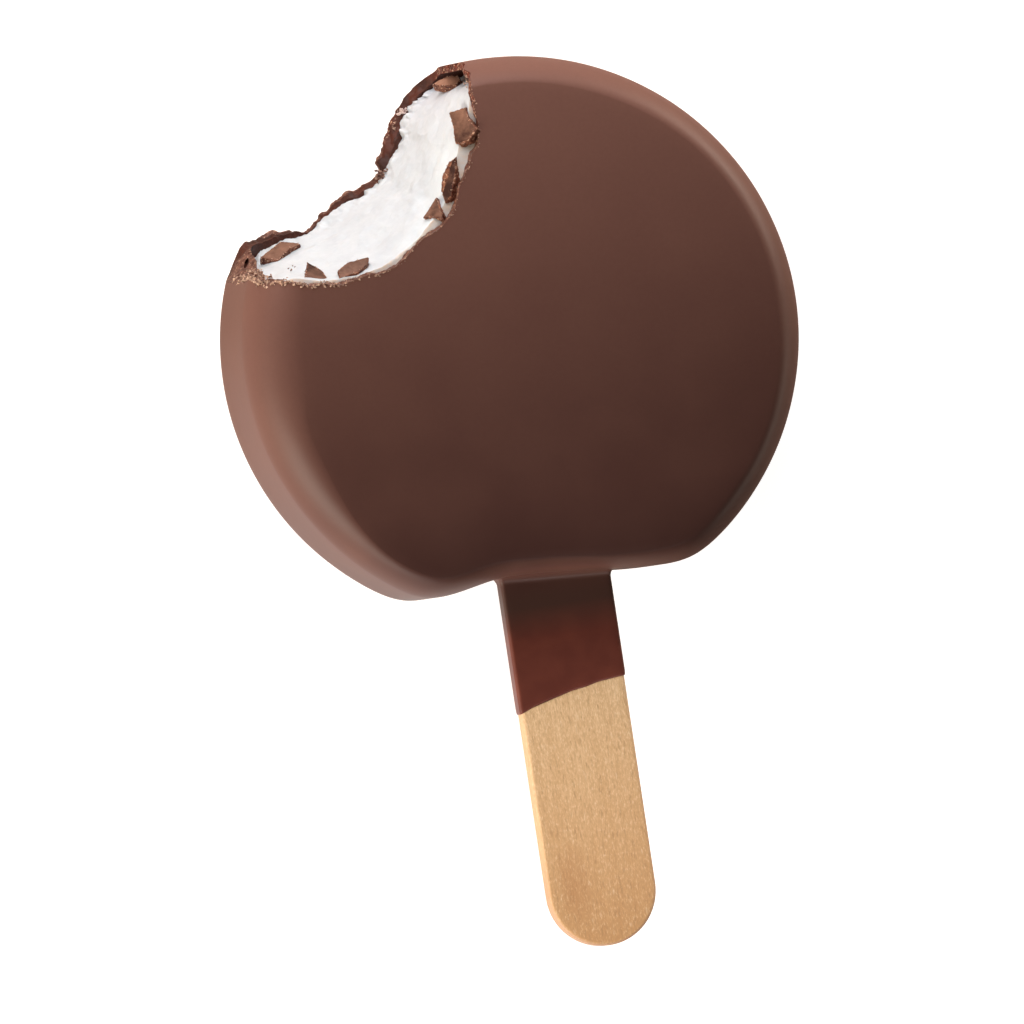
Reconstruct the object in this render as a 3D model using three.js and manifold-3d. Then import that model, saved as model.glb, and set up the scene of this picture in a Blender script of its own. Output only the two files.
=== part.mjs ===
// A round ice cream bar on a flat wooden stick, with a bite taken out of its upper left edge.
// It lies on its flat back face. The origin is on that face, at the centre of the round:
// +X runs across the bar, +Y from the stick towards the top of the round, and +Z up through the bar.
// Its pieces are a chocolate coating that also glazes the top of the stick, the ice cream inside,
// the stick, and loose shards of coating that stick to the bitten ice cream.
// Units are millimetres.

import * as THREE from "three";
import { mergeVertices } from "three/addons/utils/BufferGeometryUtils.js";
import Module from "manifold-3d";

const wasm = await Module();
wasm.setup();

// ---------------------------------------------------------------- driving dimensions

const BAR = {
  halfWidth: 35.9, // from the centre of the round to its sides
  top: 35.2, // from the centre to the top
  bottom: 31.35, // from the centre to the two lobes beside the stick
  thickness: 22, // at the side
  crown: 0.8, // the front face rises this much more towards its centre
  crownPower: 3.5, // 2 makes it a dome, and more makes it flatter in the middle
  cornerPower: 40, // how tightly the round turns into the flat bottom
  dip: 2, // the bottom is drawn in this much beside the stick
  dipCentre: -6, // the deepest place of that dip, from the middle
  dipLeft: 8, // the dip fades over this distance to the left of that place
  dipRight: 17, // and over this one to the right
};

// The edges round the bar. `depth` is how far an edge reaches down the side, and `power` is its
// form: 2 is an ellipse, less is a slanted shoulder under a crease, and more is squarer.
const FRONT_EDGE = { depth: 5.5, power: 1.6 };
const BACK_EDGE = { depth: 6.5, power: 2.4, reach: 5.8 };
// How far the front edge reaches in along the face, by direction from the centre in degrees.
// It is widest on the left and at the top right, and narrowest beside the stick.
const FRONT_REACHES = [
  [0, 4], [60, 3.9], [95, 3.5], [180, 4.2], [198, 4.6], [236, 2.5], [246, 2.7],
  [262, 1.8], [280, 1.6], [320, 3.4], [360, 4],
];

const COATING = 1.3; // thickness of the chocolate
const FIT_GAP = 0.3; // clearance between neighbouring pieces
const FILM_GAP = 0.12; // and between the stick and the chocolate film on it

const STICK = {
  width: 13.9,
  thickness: 2.2,
  length: 93,
  reach: 76.9, // from the centre of the round to the free end
  offset: 1, // the stick stands this far to the right of the middle
  bevel: 0.4,
};

const GLAZE = {
  wall: 0.35, // chocolate film round the stick
  leftEnd: -46.6, // where the film stops on the stick's left edge
  rightEnd: -43.8, // and on its right edge
  bow: 0.5, // its lower edge is bowed up by this in the middle
  start: -29.6, // where it leaves the bar, in the middle of the stick
  startSlope: 0.06, // it leaves the bar lower on the right, by this for each millimetre
  flare: 1.2, // radius of the hollow where the film flares into the bar
};

// The broken edge of the coating, from the top of the round to its left side,
// as it runs on the front face and on the back face.
const COATING_BITE = {
  front: [
    [-2, 40], [-2.5, 34], [-2.9, 29], [-2.7, 26.4], [-5.4, 21], [-8.2, 16.1], [-9.7, 14.9],
    [-11.8, 14], [-16.4, 10.8], [-20, 10.4], [-24, 9.7], [-30.3, 10.9], [-36, 12.3], [-41, 13.8],
  ],
  back: [
    [-5.2, 40], [-6.4, 32], [-8.6, 28.6], [-10.6, 25], [-11.5, 22.6], [-15.5, 21.2],
    [-18.2, 19.4], [-21.2, 17.3], [-24.5, 17.9], [-27.8, 17.5], [-30.6, 17], [-31.9, 15.2],
    [-33.3, 12.8], [-36, 12.6], [-41, 13.8],
  ],
};

// The bitten surface of the ice cream. It runs in under the coating at the top of the round,
// stands proud of the coating's front edge on the right, and lies behind its back edge.
const CREAM_BITE = {
  front: [
    [2.6, 40], [1.4, 33.6], [-0.9, 32.3], [-2.7, 30.9], [-3.3, 28.2], [-5.2, 24.7],
    [-6.8, 21.2], [-8.6, 17.6], [-11.2, 15], [-14.6, 12.4], [-18.4, 10.8], [-24, 10.1],
    [-28.5, 10.9], [-31.3, 10.6], [-33, 8.6], [-36, 6], [-41, 4],
  ],
  back: [
    [2.6, 40], [1.4, 34], [-1.5, 32.4], [-4.6, 31.5], [-6.6, 29.7], [-7.9, 26.7],
    [-9.7, 24], [-12.2, 21.7], [-16.8, 19.7], [-21.4, 17.3], [-25.3, 16.4], [-27.9, 15.7],
    [-29.5, 14.2], [-31.2, 11.6], [-35, 8], [-41, 6],
  ],
};

const BITE = {
  steps: 84, // points along a bite
  outside: 60, // the solids that cut a bite reach this far past it
  chip: 0.32, // depth of the chips in the coating's edge
  chipLength: 1.3,
  grain: 0.16, // depth of the torn texture of the ice cream
  grainLength: 1.6,
  ridge: 0.5, // the ice cream stands out by this halfway through the bar
  turnFrom: 0.3, // at the top of the round the break crosses from the back's line
  turnTo: 3.5, // to the front's line between these two heights
  slantFrom: 0.1, // past this share of the bite the break begins to slant instead,
  slantAll: 0.6, // and past this one it slants evenly from back to front
};

// Shards of coating on the bitten ice cream. `along` is a shard's place from the top of the round
// to its left side, and `height` its height. `lean` turns it from lying flat on the bite (0)
// towards facing straight up (1), and `lift` is how far it stands proud of the ice cream.
// `outline` lists its corners about that place, across the bite and up it.
const SHARD = { thickness: 1.2, bevel: 0.12 };
const SHARDS = [
  {
    along: 0.168, height: 9, lean: 0.4, lift: 0.6,
    outline: [
      [1.4, -2.1], [0.9, -1], [0.1, 0.1], [-0.6, 0.6], [-1.4, 0.4], [-1.7, -0.4], [-1.2, -1.4], [0.3, -2],
    ],
  },
  {
    along: 0.252, height: 20.5, lean: 0.35, lift: 0.7,
    outline: [
      [-1.2, -2.5], [-0.1, -1.4], [2.3, 0.3], [2.4, 1.1], [1.5, 2.3], [-0.2, 2.7], [-1.1, 1], [-2.4, -0.3],
    ],
  },
  {
    along: 0.362, height: 20.5, lean: 0.35, lift: 0.45,
    outline: [[-3, 0.8], [-2.2, -0.1], [-0.2, -0.5], [1.4, -0.1], [3, 1.1], [2.1, 1.8], [-0.3, 1.6]],
  },
  {
    along: 0.426, height: 20.3, lean: 0.35, lift: 0.6,
    outline: [[-1.4, -0.3], [1.7, -0.3], [0.8, 2.3], [0.4, 2.2]],
  },
  {
    along: 0.7, height: 5.7, lean: 0.35, lift: 0.45,
    outline: [[2.6, -0.2], [0.9, 1.5], [-1.6, 0.1], [-2.9, 0.1], [-2.7, -0.4], [-0.9, -1.8]],
  },
  {
    along: 0.708, height: 18.5, lean: 0.35, lift: 0.7,
    outline: [[0.7, -2.1], [2, 1.6], [-1.1, 2.1], [-0.8, -0.2]],
  },
  {
    along: 0.638, height: 19.8, lean: 0.35, lift: 0.7,
    outline: [[1.9, -0.4], [2.3, 1], [-0.2, 1.1], [-1.9, 0.2], [-2.5, -1], [0.3, -1.2]],
  },
];

const UP = new THREE.Vector3(0, 0, 1);
const MIDDLE = BAR.thickness / 2; // height of the stick's centre line

// ---------------------------------------------------------------- noise and easing

const mix = (a, b, share) => a + (b - a) * share;

const ease = (share) => share * share * (3 - 2 * share);

// How far x has come from one bound to the other, between 0 and 1.
const progress = (x, from, to) => Math.min(1, Math.max(0, (x - from) / (to - from)));

const levels = (from, to, steps) => Array.from({ length: steps + 1 }, (_, i) => mix(from, to, i / steps));

// A repeatable number between 0 and 1 for each point of a grid.
function gridValue(x, y, z) {
  const wave = Math.sin(x * 127.1 + y * 311.7 + z * 74.7) * 43758.5453;
  return wave - Math.floor(wave);
}

// Smooth noise between -1 and 1 whose bumps are `length` long.
function noise(point, length) {
  const scaled = point.toArray().map((value) => value / length);
  const [x, y, z] = scaled.map(Math.floor);
  const [shareX, shareY, shareZ] = scaled.map((value) => ease(value - Math.floor(value)));
  const row = (dy, dz) => mix(gridValue(x, y + dy, z + dz), gridValue(x + 1, y + dy, z + dz), shareX);
  const low = mix(row(0, 0), row(1, 0), shareY);
  const high = mix(row(0, 1), row(1, 1), shareY);
  return 2 * mix(low, high, shareZ) - 1;
}

// ---------------------------------------------------------------- geometry and solids

// A closed three.js geometry as a solid that can be joined and cut.
function solidOf(geometry) {
  const bare = geometry.clone();
  bare.deleteAttribute("normal");
  bare.deleteAttribute("uv");
  const merged = mergeVertices(bare);
  return new wasm.Manifold(
    new wasm.Mesh({
      numProp: 3,
      vertProperties: merged.attributes.position.array,
      triVerts: new Uint32Array(merged.index.array),
    }),
  );
}

function geometryOf(solid) {
  const { vertProperties, triVerts } = solid.getMesh();
  const geometry = new THREE.BufferGeometry();
  geometry.setAttribute("position", new THREE.BufferAttribute(vertProperties, 3));
  geometry.setIndex(new THREE.BufferAttribute(triVerts, 1));
  geometry.computeVertexNormals();
  return geometry;
}

// The two triangles of each cell between two neighbouring rings of a loft.
function bandFaces(start, count) {
  return Array.from({ length: count }, (_, i) => {
    const next = (i + 1) % count;
    const [a, b] = [start + i, start + next];
    return [a, b, b + count, a, b + count, a + count];
  }).flat();
}

// The triangles that close a ring.
function lidFaces(ring) {
  const outline = ring.map(({ x, y }) => new THREE.Vector2(x, y));
  return THREE.ShapeUtils.triangulateShape(outline, []);
}

// A closed skin through rings of equally many points, listed from the bottom up.
// Each ring runs anticlockwise seen from above.
function loft(rings) {
  const count = rings[0].length;
  const top = (rings.length - 1) * count;
  const faces = [
    ...lidFaces(rings[0]).flatMap(([a, b, c]) => [c, b, a]),
    ...rings.slice(1).flatMap((_, level) => bandFaces(level * count, count)),
    ...lidFaces(rings.at(-1)).flatMap((corners) => corners.map((corner) => top + corner)),
  ];
  const positions = rings.flat().flatMap((point) => point.toArray());
  const geometry = new THREE.BufferGeometry();
  geometry.setAttribute("position", new THREE.Float32BufferAttribute(positions, 3));
  geometry.setIndex(faces);
  return geometry;
}

// ---------------------------------------------------------------- the round body

const SKIN_DETAIL = { points: 112, edgeSteps: 6 }; // of the outside
const CORE_DETAIL = { points: 72, edgeSteps: 4 }; // of the inside, which is mostly hidden
const FACE_SHARES = [0.95, 0.86, 0.74, 0.55, 0.3]; // rings of the front face, as shares of its radius

// How far the outline is from the centre in one direction, when it is set in by `inset`:
// an oval that turns into a flat bottom, with a dip where the stick leaves it.
function outlineRadius(angle, inset) {
  const oval = 1 / Math.hypot(
    Math.cos(angle) / (BAR.halfWidth - inset),
    Math.sin(angle) / (BAR.top - inset),
  );
  const down = -Math.sin(angle);
  if (down <= 0) return oval;
  const across = (Math.cos(angle) / down) * BAR.bottom;
  const reach = across < BAR.dipCentre ? BAR.dipLeft : BAR.dipRight;
  const dip = BAR.dip * Math.exp(-(((across - BAR.dipCentre) / reach) ** 2));
  const flat = (BAR.bottom - dip - inset) / down;
  return (oval ** -BAR.cornerPower + flat ** -BAR.cornerPower) ** (-1 / BAR.cornerPower);
}

// How far the front edge reaches in along the face in one direction.
function frontReach(angle) {
  const degrees = THREE.MathUtils.radToDeg(angle);
  const next = FRONT_REACHES.findIndex(([direction]) => direction > degrees);
  const [[from, low], [to, high]] = FRONT_REACHES.slice(next - 1, next + 1);
  return mix(low, high, ease(progress(degrees, from, to)));
}

// One step of a rounded edge, from its face (turn 0) to the side (a quarter turn).
function edgeStep({ depth, power }, reach, turn, skin) {
  return {
    inset: reach - (reach - skin) * Math.sin(turn) ** (2 / power),
    drop: depth - (depth - skin) * Math.cos(turn) ** (2 / power),
  };
}

// A ring of points where at(angle) gives the radius and the height.
function ring(points, at) {
  return Array.from({ length: points }, (_, i) => {
    const angle = (i / points) * 2 * Math.PI;
    const { radius, height } = at(angle);
    return new THREE.Vector3(radius * Math.cos(angle), radius * Math.sin(angle), height);
  });
}

// The bar's body, set in by `skin` on every side: its rounded back edge, then its front edge and
// its slightly crowned front face.
function bodySolid(skin, { points, edgeSteps }) {
  const turns = levels(0, Math.PI / 2, edgeSteps);
  const frontHeight = (angle, radius, drop) => {
    const share = radius / outlineRadius(angle, skin);
    return BAR.thickness - drop + BAR.crown * (1 - share ** BAR.crownPower);
  };
  const back = turns.map((turn) => ring(points, (angle) => {
    const { inset, drop } = edgeStep(BACK_EDGE, BACK_EDGE.reach, turn, skin);
    return { radius: outlineRadius(angle, inset), height: drop };
  }));
  const front = turns.map((turn) => ring(points, (angle) => {
    const { inset, drop } = edgeStep(FRONT_EDGE, frontReach(angle), turn, skin);
    const radius = outlineRadius(angle, inset);
    return { radius, height: frontHeight(angle, radius, drop) };
  }));
  const face = FACE_SHARES.map((share) => ring(points, (angle) => {
    const radius = outlineRadius(angle, frontReach(angle)) * share;
    return { radius, height: frontHeight(angle, radius, skin) };
  }));
  return solidOf(loft([...back, ...front.reverse(), ...face]));
}

// ---------------------------------------------------------------- the bite

// A line in the plane of the face through a bite's points.
function biteLine(points) {
  const corners = points.map(([x, y]) => new THREE.Vector3(x, y, 0));
  return new THREE.CatmullRomCurve3(corners, false, "centripetal");
}

const biteLines = ({ front, back }) => ({ front: biteLine(front), back: biteLine(back) });

const COATING_LINES = biteLines(COATING_BITE);
const CREAM_LINES = biteLines(CREAM_BITE);

// The direction out of the bite, level with the face, at one share of its length.
function outOfBite(lines, along) {
  const tangent = lines.front.getTangentAt(along);
  return new THREE.Vector3(tangent.y, -tangent.x, 0);
}

// The point of a bite at one share of its length and one share of the way from back to front.
function bitePoint(lines, along, share, height) {
  return lines.back.getPointAt(along).lerp(lines.front.getPointAt(along), share).setZ(height);
}

// The broken edge of the coating, with its chips.
function coatingBreak(along, height) {
  const turned = ease(progress(height, BITE.turnFrom, BITE.turnTo));
  const slanted = progress(height, 0, BAR.thickness);
  const share = mix(turned, slanted, ease(progress(along, BITE.slantFrom, BITE.slantAll)));
  const place = bitePoint(COATING_LINES, along, share, height);
  const chip = BITE.chip * noise(place, BITE.chipLength);
  return place.addScaledVector(outOfBite(COATING_LINES, along), chip);
}

// The bitten ice cream, with a low ridge halfway through the bar and no texture yet.
function creamForm(along, height) {
  const share = progress(height, 0, BAR.thickness);
  const ridge = BITE.ridge * Math.sin(Math.PI * share) * Math.sin(Math.PI * along);
  return bitePoint(CREAM_LINES, along, share, height).addScaledVector(outOfBite(CREAM_LINES, along), ridge);
}

// The same surface with its torn grain.
function creamSurface(along, height) {
  const place = creamForm(along, height);
  const grain = BITE.grain * noise(place, BITE.grainLength);
  return place.addScaledVector(outOfBite(CREAM_LINES, along), grain);
}

// A solid that cuts a bite away. One of its sides is surface(along, height), and the others
// lie outside the bar.
function biteCutter(surface, heights) {
  const rings = heights.map((height) => {
    const wall = levels(0, 1, BITE.steps).map((along) => surface(along, height));
    const far = BITE.outside;
    const around = [[wall.at(-1).x - far, wall.at(-1).y], [-far, far], [wall[0].x, far]];
    return [...wall, ...around.map(([x, y]) => new THREE.Vector3(x, y, height))].reverse();
  });
  return solidOf(loft(rings));
}

// The levels of the cutters run from below the bar to above it. Those of the coating's cutter lie
// closest where they cross its back and its front.
const BELOW = -1;
const ABOVE = BAR.thickness + 1.5;
const coatingCutter = biteCutter(coatingBreak, [
  BELOW,
  ...levels(0.4, COATING, 2),
  ...levels(2 * COATING, BAR.thickness - 2 * COATING, 7),
  ...levels(BAR.thickness - COATING, BAR.thickness + BAR.crown, 3),
  ABOVE,
]);
const creamCutter = biteCutter(creamSurface, levels(BELOW, ABOVE, 15));

// ---------------------------------------------------------------- the stick and its glaze

// The stick's outline, grown by `grow` on every side.
function stickShape(grow) {
  const radius = STICK.width / 2 + grow;
  const freeCentre = STICK.width / 2 - STICK.reach;
  const innerCentre = STICK.length - STICK.reach - STICK.width / 2;
  const shape = new THREE.Shape();
  shape.absarc(STICK.offset, freeCentre, radius, Math.PI, 2 * Math.PI, false);
  shape.absarc(STICK.offset, innerCentre, radius, 0, Math.PI, false);
  return shape;
}

// A flat plate about z = 0 with bevelled edges that stay inside the shape.
function plate(shape, thickness, bevel, curveSegments) {
  const geometry = new THREE.ExtrudeGeometry(shape, {
    depth: thickness - 2 * bevel,
    bevelSize: bevel,
    bevelThickness: bevel,
    bevelOffset: -bevel,
    bevelSegments: 1,
    curveSegments,
  });
  return geometry.translate(0, 0, bevel - thickness / 2);
}

function stickSolid(grow = 0) {
  const geometry = plate(stickShape(grow), STICK.thickness + 2 * grow, STICK.bevel, 10);
  return solidOf(geometry.translate(0, 0, MIDDLE));
}

// A rounded section round the stick, `grow` larger than it on every side, and how far down
// the stick it is.
function glazeSection(grow, distance) {
  const round = STICK.bevel + grow / 2;
  const x = STICK.width / 2 + grow - round;
  const y = STICK.thickness / 2 + grow - round;
  const shape = new THREE.Shape();
  shape.absarc(x, y, round, 0, Math.PI / 2, false);
  shape.absarc(-x, y, round, Math.PI / 2, Math.PI, false);
  shape.absarc(-x, -y, round, Math.PI, 1.5 * Math.PI, false);
  shape.absarc(x, -y, round, 1.5 * Math.PI, 2 * Math.PI, false);
  return shape.getPoints(2).map(({ x: across, y: up }) => {
    return new THREE.Vector3(across, up, distance + GLAZE.startSlope * across);
  });
}

// The chocolate that covers the stick, before the stick's own space is cut from it.
function glazeSolid() {
  const outer = GLAZE.wall + FILM_GAP;
  const flare = levels(0, Math.PI / 2, 4).map((turn) => {
    const grow = outer + GLAZE.flare * (1 - Math.sin(turn));
    return glazeSection(grow, GLAZE.flare * (1 - Math.cos(turn)) - GLAZE.start);
  });
  const root = glazeSection(outer + GLAZE.flare, -GLAZE.start - COATING);
  const end = glazeSection(outer, 1 - GLAZE.leftEnd);
  const geometry = loft([root, ...flare, end]).rotateX(Math.PI / 2);
  return solidOf(geometry.translate(STICK.offset, 0, MIDDLE)).subtract(glazeEnd());
}

// Everything below the film's slanting, slightly bowed lower edge, and wider than the film.
function glazeEnd() {
  const side = STICK.width / 2 + GLAZE.flare;
  const drop = (side * (GLAZE.rightEnd - GLAZE.leftEnd)) / STICK.width;
  const middle = (GLAZE.leftEnd + GLAZE.rightEnd) / 2;
  const shape = new THREE.Shape();
  shape.moveTo(STICK.offset - side, -STICK.reach);
  shape.lineTo(STICK.offset + side, -STICK.reach);
  shape.lineTo(STICK.offset + side, middle + drop);
  shape.quadraticCurveTo(STICK.offset, middle + 2 * GLAZE.bow, STICK.offset - side, middle - drop);
  const geometry = new THREE.ExtrudeGeometry(shape, {
    depth: BAR.thickness,
    bevelEnabled: false,
    curveSegments: 6,
  });
  return solidOf(geometry);
}

// ---------------------------------------------------------------- shards

// The direction that points straight out of the bitten ice cream.
function creamNormal(along, height) {
  const step = 0.01;
  const alongBite = creamForm(along + step, height).sub(creamForm(along - step, height));
  const upBite = creamForm(along, height + step).sub(creamForm(along, height - step));
  return alongBite.cross(upBite).normalize();
}

// A shard's place and pose on the bitten ice cream.
function shardPose({ along, height, lean, lift }) {
  const facing = creamNormal(along, height).lerp(UP, lean).normalize();
  const upwards = UP.clone().projectOnPlane(facing).normalize();
  const across = upwards.clone().cross(facing);
  const centre = creamForm(along, height).addScaledVector(facing, lift - SHARD.thickness / 2);
  return new THREE.Matrix4().makeBasis(across, upwards, facing).setPosition(centre);
}

function shardSolid(shard, grow = 0) {
  const corners = shard.outline.map(([x, y]) => new THREE.Vector2(x, y));
  const geometry = plate(new THREE.Shape(corners), SHARD.thickness, SHARD.bevel, 1);
  geometry.computeBoundingBox();
  const centre = geometry.boundingBox.getCenter(new THREE.Vector3());
  const size = geometry.boundingBox.getSize(new THREE.Vector3());
  const [x, y, z] = size.toArray().map((length) => (length + 2 * grow) / length);
  geometry.center().scale(x, y, z).translate(centre.x, centre.y, centre.z);
  return solidOf(geometry.applyMatrix4(shardPose(shard)));
}

// ---------------------------------------------------------------- the pieces

const stick = stickSolid();
const shards = SHARDS.map((shard) => shardSolid(shard));
const filmSpace = stickSolid(FILM_GAP);
const stickSpace = stickSolid(FIT_GAP);
const shardSpaces = SHARDS.map((shard) => shardSolid(shard, FIT_GAP));

const cut = (solid, tools) => tools.reduce((left, tool) => left.subtract(tool), solid);

const coating = cut(bodySolid(0, SKIN_DETAIL).add(glazeSolid()), [
  bodySolid(COATING, CORE_DETAIL),
  coatingCutter,
  filmSpace,
  ...shardSpaces,
]);
const iceCream = cut(bodySolid(COATING + FIT_GAP, CORE_DETAIL), [
  creamCutter,
  stickSpace,
  ...shardSpaces,
]);

// ---------------------------------------------------------------- the scene graph

const MATERIALS = {
  chocolate: new THREE.MeshStandardMaterial({ color: 0x5d3f35, roughness: 0.42, metalness: 0 }),
  brokenChocolate: new THREE.MeshStandardMaterial({ color: 0x6b4334, roughness: 0.5, metalness: 0 }),
  iceCream: new THREE.MeshStandardMaterial({ color: 0xf4f1ee, roughness: 0.6, metalness: 0 }),
  wood: new THREE.MeshStandardMaterial({ color: 0xc9a071, roughness: 0.7, metalness: 0 }),
};

const bar = new THREE.Group();

function place(name, solid, material) {
  const mesh = new THREE.Mesh(geometryOf(solid), material);
  mesh.name = name;
  bar.add(mesh);
}

place("chocolate_coating", coating, MATERIALS.chocolate);
place("ice_cream", iceCream, MATERIALS.iceCream);
place("wooden_stick", stick, MATERIALS.wood);
shards.forEach((shard, i) => place(`chocolate_shard_${i + 1}`, shard, MATERIALS.brokenChocolate));

export default bar;
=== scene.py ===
"""Looks of a round ice cream bar on a flat wooden stick, with a bite out of its upper left edge.

Lengths are millimetres until a mesh is made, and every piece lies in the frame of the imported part.
"""

import math

import bmesh
import bpy
import numpy as np
from mathutils import Matrix, Vector


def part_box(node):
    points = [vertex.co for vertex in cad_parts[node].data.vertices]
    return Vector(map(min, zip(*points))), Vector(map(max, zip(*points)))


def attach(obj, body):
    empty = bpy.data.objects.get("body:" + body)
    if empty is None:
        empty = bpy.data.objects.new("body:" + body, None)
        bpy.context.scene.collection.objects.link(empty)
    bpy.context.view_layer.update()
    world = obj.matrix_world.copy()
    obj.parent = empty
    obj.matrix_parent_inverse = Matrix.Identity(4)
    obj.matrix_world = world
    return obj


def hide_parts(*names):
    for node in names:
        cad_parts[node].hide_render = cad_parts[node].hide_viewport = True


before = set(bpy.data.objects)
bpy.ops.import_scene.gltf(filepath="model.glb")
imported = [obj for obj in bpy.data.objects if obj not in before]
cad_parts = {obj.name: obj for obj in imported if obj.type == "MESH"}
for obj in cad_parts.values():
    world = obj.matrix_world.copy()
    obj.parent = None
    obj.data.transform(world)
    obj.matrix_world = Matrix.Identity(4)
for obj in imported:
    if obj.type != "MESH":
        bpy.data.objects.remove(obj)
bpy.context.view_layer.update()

MM = 0.001

# ---------------- sizes


def node_box(name):
    low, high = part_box(name)
    return np.array(low) / MM, np.array(high) / MM


COATING_HIGH = node_box("chocolate_coating")[1]
STICK_LOW, STICK_HIGH = node_box("wooden_stick")

HALF_WIDTH = COATING_HIGH[0]
TOP = COATING_HIGH[1]
BOTTOM = 31.35  # from the centre to the two lobes beside the stick
MIDDLE = (STICK_LOW[2] + STICK_HIGH[2]) / 2  # height of the stick's centre line
THICKNESS = 2 * MIDDLE
CROWN = 0.8  # the front face rises this much towards its centre
CROWN_POWER = 3.5  # 2 makes it a dome, and more makes it flatter in the middle
CORNER_POWER = 40  # how tightly the round turns into the flat bottom
DIP = 2  # the bottom is drawn in this much beside the stick
DIP_CENTRE = -6
DIP_LEFT = 8  # the dip fades over this distance to the left of that place
DIP_RIGHT = 17  # and over this one to the right

# The rounded edges of the front and the back: how far down the side they reach, how far in along
# their face, and their form: 2 is an ellipse, less a slanted shoulder under a crease, more squarer.
BACK_DEPTH, BACK_REACH, BACK_POWER = 6.5, 5.8, 2.4
FRONT_DEPTH = 5.5
# Direction from the centre in degrees, reach and form of the front edge there.
FRONT_EDGE = [
    (0, 4, 1.6), (60, 3.9, 1.6), (95, 3.5, 1.6), (178, 6.6, 2), (198, 4.8, 1.7),
    (231, 2.35, 1.6), (240, 2.4, 1.6), (248, 2.6, 1.6), (262, 1.8, 1.6), (280, 1.6, 1.6),
    (320, 3.4, 1.6), (360, 4, 1.6),
]
COATING = 1.3  # thickness of the chocolate
LEFT_EXTRA = 1.4  # the left wall is thicker by this where it is broken
LEFT_EXTRA_ANGLES = (149, 156, 168, 178)  # in these directions in degrees, as band takes them
LEFT_EXTRA_HEIGHTS = (1.5, 4, 19, 21)  # and at these heights
TOP_THINNER = 0.35  # and the top of the round is thinner by this
TOP_THINNER_ANGLES = (82, 90, 104, 112)
CRACK_PLACE = (-31.1, 14.4, 7)
CRACK_HALF_HEIGHT = 2.4
CRACK_HALF_LENGTH = 0.8
CRACK_HALF_WIDTH = 0.34
CRACK_SLANT = 0.5  # how far it leans to the right for each millimetre up along Y

STICK_WIDTH = STICK_HIGH[0] - STICK_LOW[0]
STICK_THICKNESS = STICK_HIGH[2] - STICK_LOW[2]
STICK_X = (STICK_LOW[0] + STICK_HIGH[0]) / 2
STICK_EDGE = 0.4  # radius of its long edges

FILM = 0.2  # thickness of the chocolate film on the stick
FILM_LEFT_END = -46.6
FILM_RIGHT_END = -43.8
FILM_BOW = 0.5
FILM_START = -29.6  # where it leaves the bar, in the middle of the stick
START_SLOPE = 0.06  # it leaves the bar lower on the right, by this for each millimetre
FLARE = 1.2  # radius of the hollow where the film flares into the bar
FLARE_ROWS = 14
FREE_ROWS = 60  # rows of points on the film below the flare
LIP_ROWS = 12  # the last of them, which round its end

# The broken edge of the coating, from the top of the round to its left side,
# as it runs on the front face and on the back face.
COATING_BITE = {
    "front": [
        (-2, 40), (-2.5, 34), (-2.9, 29), (-2.7, 26.4), (-5.4, 21), (-8.2, 16.1), (-9.7, 14.9),
        (-11.8, 14), (-16.4, 10.8), (-20, 10.4), (-24, 9.7), (-30.3, 10.9), (-36, 12.3), (-41, 13.8),
    ],
    "back": [
        (-5.2, 40), (-6.4, 32), (-8.6, 28.6), (-10.6, 25), (-11.5, 22.6), (-15.5, 21.2),
        (-18.2, 19.4), (-21.2, 17.3), (-24.5, 17.9), (-27.8, 17.5), (-30.6, 17), (-31.9, 15.2),
        (-33.3, 12.8), (-36, 12.6), (-41, 13.8),
    ],
}
# The bitten surface of the ice cream.
CREAM_BITE = {
    "front": [
        (2.6, 40), (1.4, 33.6), (-0.9, 32.3), (-2.7, 30.9), (-3.3, 28.2), (-5.2, 24.7),
        (-6.8, 21.2), (-8.6, 17.6), (-11.2, 15), (-14.6, 12.4), (-18.4, 10.8), (-24, 10.1),
        (-28.5, 10.9), (-31.3, 10.6), (-33, 8.6), (-36, 6), (-41, 4),
    ],
    "back": [
        (2.6, 40), (1.4, 34), (-1.5, 32.4), (-4.6, 31.5), (-6.6, 29.7), (-7.9, 26.7),
        (-9.7, 24), (-12.2, 21.7), (-16.8, 19.7), (-21.4, 17.3), (-25.3, 16.4), (-27.9, 15.7),
        (-29.5, 14.2), (-31.2, 11.6), (-35, 8), (-41, 6),
    ],
}
CHIP = 0.32  # depth of the chips in the coating's edge
CHIP_LENGTH = 1.3
RIDGE = 0.5  # the ice cream stands out by this halfway through the bar
CORNER_FILL = 0.9  # and by this at its left end
PRESSED_IN = 0.4  # and is pressed in by this under the fifth shard
PRESSED_PLACE = (-26.3, 14.6, 5.6)
PRESSED_REACH = 2.6
# Depths of the texture of the bitten ice cream: grain, waves and folds all over it, and ridges, tips
# and, at the top of the round, peaks on its torn back edge.
GRAIN, WAVES, FOLDS = 0.16, 0.22, 0.07
RIDGES, TIPS, PEAKS = 0.3, 0.4, 0.55
TURN_HEIGHTS = (0.3, 3.5)  # between these heights the break crosses from back line to front line
SLANT_SHARES = (0.1, 0.6)  # between these shares of the bite it comes to slant evenly instead
OUTSIDE = 60  # the solids that cut the bite reach this far past it
CUT_LOW = (-1, 3.9)  # heights of their lower part, which has closer rows in the coating
CUT_HIGH = (4, THICKNESS + 1.5)  # and of their upper part
CREAM_OVERLAP = 0.05  # the ice cream goes into the coating by this
STICK_OVERLAP = 0.03  # and the stick into both

SHARD_THICKNESS = 1.2
SHARD_EDGE = 0.12  # its edges are blunted by this
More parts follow.
